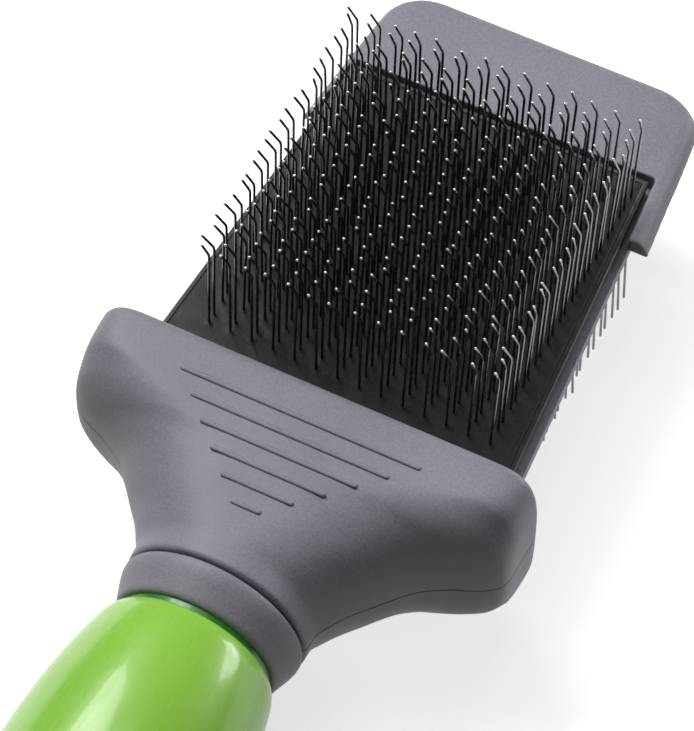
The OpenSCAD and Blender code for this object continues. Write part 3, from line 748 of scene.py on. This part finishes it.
for y in stations:
    w, r, t = (float(ease_through(cap_at, v, y)) for v in (cap_w, cap_r, cap_h))
    side = [(w - r + r * math.cos(a), t * math.sin(a)) for a in np.linspace(math.pi / 2, -math.pi / 2, 30)]
    flat = [(x, -t) for x in np.linspace(w - r, r - w, 10)[1:-1]]
    other = [(-x, z) for x, z in reversed(side)]
    ring = side + flat + other + [(-x, -z) for x, z in flat]
    for x, z in ring:
        lean = max(0.0, DRAFT_Z - z) * DRAFT
        points.append(((CAP_MID + x - math.copysign(min(lean, abs(x)), x)) * MM, y * MM, z * MM))
n = len(ring)
faces = grid_faces(len(stations), n)
faces += [tuple(range(n - 1, -1, -1)), tuple(range((len(stations) - 1) * n, len(stations) * n))]
end_cap = make_piece("end_cap_moulded", points, faces, GREY_ABS)
face_outwards(end_cap)

# %% End cap notch
NOTCH_Y = PAD_FAR + 0.9
SIDE_GAP = 0.7


def wedge(y0, y1, d0, d1, z0, z1):
    """A flat cutter that follows the taper of the pad."""
    h0, h1 = tray_half(y0) + d0, tray_half(y1) + d1
    outline = ((-h0, y0), (h0, y0), (h1, y1), (-h1, y1))
    points = [(x * MM, y * MM, z * MM) for z in (z0, z1) for x, y in outline]
    faces = [(3, 2, 1, 0), (4, 5, 6, 7), (0, 1, 5, 4), (1, 2, 6, 5), (2, 3, 7, 6), (3, 0, 4, 7)]
    return make_piece("cutter", points, faces, BLACK_ABS)


cut(end_cap, wedge(ARM_Y - 1, NOTCH_Y, SIDE_GAP + 0.2, SIDE_GAP, -9, 9))
cut(end_cap, block((-40, 40), (ARM_Y - 2, NOTCH_Y), (-9, RAIL_Z + 0.05)))
cap_screws = np.array([v.co for v in nodes["cap_screws"].data.vertices]) / MM
for sx in (-1, 1):
    group = cap_screws[np.sign(cap_screws[:, 0]) == sx]
    x, y = (group[:, :2].max(0) + group[:, :2].min(0)) / 2
    cut(end_cap, drill(x, y, -CAP_T - 2, -CAP_T + 1.15, 2.5))
step = end_cap.modifiers.new("voxels", "REMESH")
step.mode = "VOXEL"
step.voxel_size = 0.26 * MM
step = end_cap.modifiers.new("round", "SMOOTH")
step.factor = 0.5
step.iterations = 5
bpy.context.view_layer.update()
done = bpy.data.meshes.new_from_object(end_cap.evaluated_get(bpy.context.evaluated_depsgraph_get()))
end_cap.modifiers.clear()
end_cap.data = done
end_cap.data.shade_smooth()
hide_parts("end_cap")
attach(end_cap, "handle")
print("end cap has", len(done.polygons), "faces")

# %% [markdown]
# ## Rubber pads
# The pad is a sheet of rubber that the wires pierce. Each wire pushes up a small ring of rubber round
# itself, and the sheet is never quite flat. So the top of the pad is a fine grid of points, lifted
# round each wire and waved slightly, with its edge rounded down into the tray.

# %% Pin places
COLS, ROWS = 14, 24
PITCH_Y, SKEW = 2.1, 0.28
back_low, back_high = low("pins_back"), high("pins_back")
WIRE = 0.42
PITCH_X = (back_high[0] - back_low[0] - WIRE) / (COLS - 1)
FIELD_X = (back_high[0] + back_low[0]) / 2
ROW_0 = back_low[1] + SKEW + WIRE / 2
rng = np.random.default_rng(11)


def pin_x(c):
    return FIELD_X + (c - (COLS - 1) / 2) * PITCH_X


def pin_y(k, c):
    return ROW_0 + k * PITCH_Y - ((k % 2) * 2 - 1) * SKEW * (1 - 2 * c / (COLS - 1))


PINS = np.array([(pin_x(c), pin_y(k, c)) for k in range(ROWS) for c in range(COLS)])
print(len(PINS), "pins a side, columns", round(PITCH_X, 2), "mm apart; the CAD rows end at y",
      round(back_high[1], 2), "and these at", round(PINS[:, 1].max() + WIRE / 2, 2))


# %% A tapered grid
def tapered_grid(node, across, along):
    """Grid points over a tapered sheet: shares S and V, places X and Y, half widths and length."""
    lo, hi = low(node), high(node)
    length = hi[1] - lo[1]
    near_half = (hi[0] - lo[0]) / 2
    far_half = near_half - TAPER * length
    S, V = np.meshgrid(np.linspace(-1, 1, across), np.linspace(0, 1, along))
    X = (lo[0] + hi[0]) / 2 + S * (near_half + (far_half - near_half) * V)
    Y = lo[1] + V * length
    return S, V, X, Y, near_half, far_half, length


def grid_border(across, along):
    """Indices round the edge of a grid, in order."""
    return ([i for i in range(across)] + [r * across + across - 1 for r in range(1, along)]
            + [(along - 1) * across + i for i in range(across - 2, -1, -1)]
            + [r * across for r in range(along - 2, 0, -1)])


# %% Pads
def rubber_pad(name, node, up):
    lo, hi = low(node), high(node)
    top = hi[2] if up > 0 else -lo[2]
    under = lo[2] if up > 0 else -hi[2]
    across, along = 132, 142
    S, V, X, Y, near_half, far_half, length = tapered_grid(node, across, along)
    Z = np.zeros_like(X)
    for x, y in PINS:
        d = np.hypot(X - x, Y - y)
        Z += 0.16 * np.exp(-((d - 0.25) / 0.33) ** 2)
    Z += 0.035 * np.sin(X * 0.9 + 2 * np.sin(Y * 0.31)) + 0.03 * np.sin(Y * 1.3 + X * 0.35)
    rim = np.minimum(np.minimum((1 - np.abs(S)) * near_half, V * length), (1 - V) * length)
    Z = Z * np.clip(rim / 1.2, 0, 1) - 0.22 * np.clip(1 - rim / 0.5, 0, 1) ** 2
    points = [(x * MM, y * MM, up * (top + z) * MM) for x, y, z in zip(X.ravel(), Y.ravel(), Z.ravel())]
    faces = grid_faces(along, across, wrap_cols=False)
    border = grid_border(across, along)
    base = len(points)
    points += [(points[i][0], points[i][1], up * under * MM) for i in border]
    n = len(border)
    faces += [(border[i], base + i, base + (i + 1) % n, border[(i + 1) % n]) for i in range(n)]
    faces.append(tuple(base + i for i in range(n)))
    piece = make_piece(name, points, faces, BLACK_RUBBER, degrees=60)
    face_outwards(piece)
    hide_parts(node)
    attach(piece, "head")
    return piece


pad_front = rubber_pad("pad_front_rubber", "pad_front", 1)
rubber_pad("pad_back_rubber", "pad_back", -1)
print("each pad has", len(pad_front.data.polygons), "faces")

# %% [markdown]
# ## Wire pins
# The front pins are bent: each rises, turns at an elbow and leans back towards the handle. The back
# pins are straight. A curve object with a round bevel could make one, but a swept tube in mesh code
# lets the cut tip have its own bright material. Hand-loaded wire is never perfect, so every pin leans
# and turns by a small random amount from a fixed seed.

# %% Sweep a wire
def sweep(path, radius, sides, points, faces, marks):
    """Add one wire along a path of points. marks gets 1 for each face of a cut end and 0 for the rest."""
    first = len(points)
    path = np.array(path)
    tangents = np.gradient(path, axis=0)
    tangents /= np.linalg.norm(tangents, axis=1)[:, None]
    side = np.cross(tangents, (0.0, 1.0, 0.0))
    side /= np.linalg.norm(side, axis=1)[:, None]
    other = np.cross(side, tangents)
    angles = 2 * math.pi * np.arange(sides) / sides
    rings = [(path[0] - tangents[0] * radius * 0.4, 0.6, 0), (path[0], 1.0, 0)]
    rings += [(path[i], 1.0, i) for i in range(1, len(path))]
    rings += [(path[-1] + tangents[-1] * radius * 0.4, 0.6, len(path) - 1)]
    for middle, scale, i in rings:
        for a in angles:
            outwards = math.cos(a) * side[i] + math.sin(a) * other[i]
            points.append(tuple((middle + scale * radius * outwards) * MM))
    faces += grid_faces(len(rings), sides, first=first)
    marks += [1] * sides + [0] * ((len(rings) - 3) * sides) + [1] * sides
    faces.append(tuple(first + k for k in range(sides - 1, -1, -1)))
    faces.append(tuple(first + (len(rings) - 1) * sides + k for k in range(sides)))
    marks += [1, 1]


def leg_points(x, y, top, profile, lean, spread, up):
    """Points of one leg from the pad to its tip. profile lists (height above the pad, distance back)."""
    tilt_x = lean[0] + spread * (x - FIELD_X) / 24 + rng.normal(0, 0.009)
    tilt_y = lean[1] + rng.normal(0, 0.009)
    turn = rng.normal(0, 0.1)
    stretch = 1 + rng.normal(0, 0.006)
    out = []
    for height, behind in profile:
        h = height * stretch
        out.append((x + tilt_x * h + behind * math.sin(turn), y + tilt_y * h - behind * math.cos(turn),
                    up * (top + h)))
    return out


BEND = 0.25


def staples(name, node, up, profile, lean, spread):
    """All the staples of one side. A staple is one wire: down one leg, across its crown and up the next."""
    crown = (low(node)[2] if up > 0 else -high(node)[2]) + WIRE / 2
    pad = "pad_front" if up > 0 else "pad_back"
    top = high(pad)[2] if up > 0 else -low(pad)[2]
    points, faces, marks = [], [], []
    for k in range(ROWS):
        for c in range(0, COLS, 2):
            legs = [leg_points(pin_x(j), pin_y(k, j), top, profile, lean, spread, up) for j in (c, c + 1)]
            feet = [(pin_x(j), pin_y(k, j), up * (crown + BEND)) for j in (c, c + 1)]
            bends = [(pin_x(c) + BEND, pin_y(k, c), up * crown),
                     (pin_x(c + 1) - BEND, pin_y(k, c + 1), up * crown)]
            sweep(legs[0][::-1] + [feet[0]] + bends + [feet[1]] + legs[1], WIRE / 2, 8, points, faces, marks)
    piece = make_piece(name, points, faces, OILED_WIRE, degrees=50)
    piece.data.materials.append(CUT_TIP)
    piece.data.polygons.foreach_set("material_index", marks)
    face_outwards(piece)
    smooth_by_angle(piece, 50)
    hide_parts(node)
    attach(piece, "head")
    return len(marks)


# %% Bent pins and straight pins
FRONT_TOP = high("pins_front")[2] - PAD_Z
ELBOW, TIP, TIP_BACK = FRONT_TOP - 6.2, FRONT_TOP - 0.1, 2.9
ELBOW_REACH = 0.9
bent = [(0, 0), (ELBOW - ELBOW_REACH, 0)]
for t in (0.25, 0.5, 0.75, 1.0):
    bent.append((ELBOW - ELBOW_REACH * (1 - t) ** 2 + 0.81 * t * t, 0.385 * t * t))
bent += [((ELBOW + TIP) / 2, TIP_BACK / 2), (TIP, TIP_BACK)]
BACK_TOP = -low("pins_back")[2] - PAD_Z
straight = [(0, 0), (BACK_TOP / 2, 0), (BACK_TOP, 0)]
front_faces = staples("pins_front_bent_wire", "pins_front", 1, bent, (0.014, 0.022), 0.01)
back_faces = staples("pins_back_straight_wire", "pins_back", -1, straight, (0.0, 0.01), 0.03)
print("front pins stand", round(FRONT_TOP, 1), "mm and back pins", round(BACK_TOP, 1), "mm above the pad, in",
      front_faces, "and", back_faces, "faces")

# %% [markdown]
# ## Woven backing
# A layer of cotton duck lies under each rubber sheet and holds the staple crowns, so that the wires
# can't pull through. It is hidden in a whole brush, but it is a real piece of cloth: a flat sheet, cut to
# the tray and stretched over the crowns.

# %% Cotton backing
def backing(name, node):
    lo, hi = low(node), high(node)
    across, along = 45, 47
    S, V, X, Y, near_half, far_half, long = tapered_grid(node, across, along)
    middle = (hi[2] + lo[2]) / 2
    half = (hi[2] - lo[2]) / 2 - 0.06
    weave = 0.02 * np.sin(X * 2.2) * np.sin(Y * 2.2)
    points = [(x * MM, y * MM, (middle + side + w) * MM) for side in (half, -half)
              for x, y, w in zip(X.ravel(), Y.ravel(), weave.ravel())]
    n = across * along
    faces = grid_faces(along, across, wrap_cols=False)
    faces += [tuple(n + i for i in reversed(f)) for f in faces[:]]
    edge = grid_border(across, along)
    faces += [(edge[i], n + edge[i], n + edge[(i + 1) % len(edge)], edge[(i + 1) % len(edge)])
              for i in range(len(edge))]
    piece = make_piece(name, points, faces, COTTON_DUCK)
    face_outwards(piece)
    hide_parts(node)
    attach(piece, "head")


backing("backing_front_duck", "cloth_front")
backing("backing_back_duck", "cloth_back")
print("two backing sheets")

# %% [markdown]
# ## Pieces that keep their shape
# The stem, the pins that lock it, the bushes, the trunnions, the screws and the core have the right
# shape already and lie mostly inside. They only get their real materials, except that the core's dark
# green is painted shade for the recess between the collar and the grip.

# %% Finishes on the mechanical pieces
for node, material in {
        "handle_core": CORE_GREEN_PAINTED_SHADE, "stem": STEM_NYLON, "stem_pin": ZINC_STEEL, "shoulder_screws": ZINC_STEEL,
        "cap_screws": ZINC_STEEL, "tray_screws": ZINC_STEEL, "trunnion_near": ZINC_STEEL,
        "trunnion_far": ZINC_STEEL, "bush_near": BUSH_RUBBER, "bush_far": BUSH_RUBBER,
        "core": BLACK_ABS}.items():
    for holder in nodes[node].material_slots:
        holder.material = material
print("finished the eleven mechanical nodes")

# %% [markdown]
# ## Floor and light
# A pale floor and big soft lamps show shape without hard shadows. The key lamp is high, to the left and
# beyond the head: it lights the flat tops and leaves the flanks that face the handle dark. A low window
# far to the right lights the ends of the lobes, and a narrow strip draws a soft line along the rounded
# edges. Upright wires mirror what lies below them, so the pale floor draws the bright lines along the
# outer pins. The floor glows a little, to stay white, and is kept out of the diffuse bounce.

# %% Floor
FLOOR_Z = min(v[2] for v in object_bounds()) / MM
paper, tree, skin, place = start_material("white_card", Roughness=0.9, IOR=1.45)
fibre = add(tree, "ShaderNodeTexNoise", values={"Scale": per_mm(30), "Detail": 4.0}, links={"Vector": place})
mix = add(tree, "ShaderNodeMix", {"data_type": "RGBA"}, {6: linear("#FAFAFA"), 7: linear("#FFFFFF")},
          {0: fibre.outputs["Fac"]})
tree.links.new(mix.outputs[2], skin.inputs["Base Color"])
skin.inputs["Emission Color"].default_value = (1, 1, 1, 1)
skin.inputs["Emission Strength"].default_value = 0.65
floor = make_piece("floor", [(x * 4, y * 4, FLOOR_Z * MM) for x, y in ((-1, -1), (1, -1), (1, 1), (-1, 1))],
                   [(0, 1, 2, 3)], paper)
floor.visible_diffuse = False
floor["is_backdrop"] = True

# %% Lamps and sky
def softbox(name, azimuth, elevation, distance, size, power, tone="#FFFFFF"):
    """A rectangular lamp that faces the head, placed by angles seen from it."""
    lamp = bpy.data.lights.new(name, "AREA")
    lamp.shape = "RECTANGLE"
    lamp.size, lamp.size_y = size[0] * MM, size[1] * MM
    lamp.energy = power
    lamp.color = linear(tone)[:3]
    a, e = math.radians(azimuth), math.radians(elevation)
    middle = Vector((0, low("shoulder_front")[1], 0))
    towards = Vector((math.sin(a) * math.cos(e), -math.cos(a) * math.cos(e), math.sin(e)))
    holder = bpy.data.objects.new(name, lamp)
    bpy.context.collection.objects.link(holder)
    holder.location = (middle + towards * distance) * MM
    holder.rotation_mode = "QUATERNION"
    holder.rotation_quaternion = towards.to_track_quat("Z", "Y")
    return holder


softbox("key_left_and_beyond", 240, 52, 900, (500, 420), 6.2)
softbox("top_and_beyond", 190, 72, 900, (400, 300), 0.8)
softbox("window_far_right", 146, 13, 900, (300, 220), 2.2)
softbox("strip_right", 99, 34, 900, (60, 500), 0.45)
softbox("fill_front", 340, 72, 1200, (500, 500), 0.12)
world = bpy.data.worlds.new("pale_room")
bpy.context.scene.world = world
world.use_nodes = True
world.node_tree.nodes["Background"].inputs["Color"].default_value = (1, 1, 1, 1)
world.node_tree.nodes["Background"].inputs["Strength"].default_value = 0.03
bpy.context.scene.view_settings.view_transform = "Standard"
print("floor at z", round(FLOOR_Z, 1), "mm, five lamps")
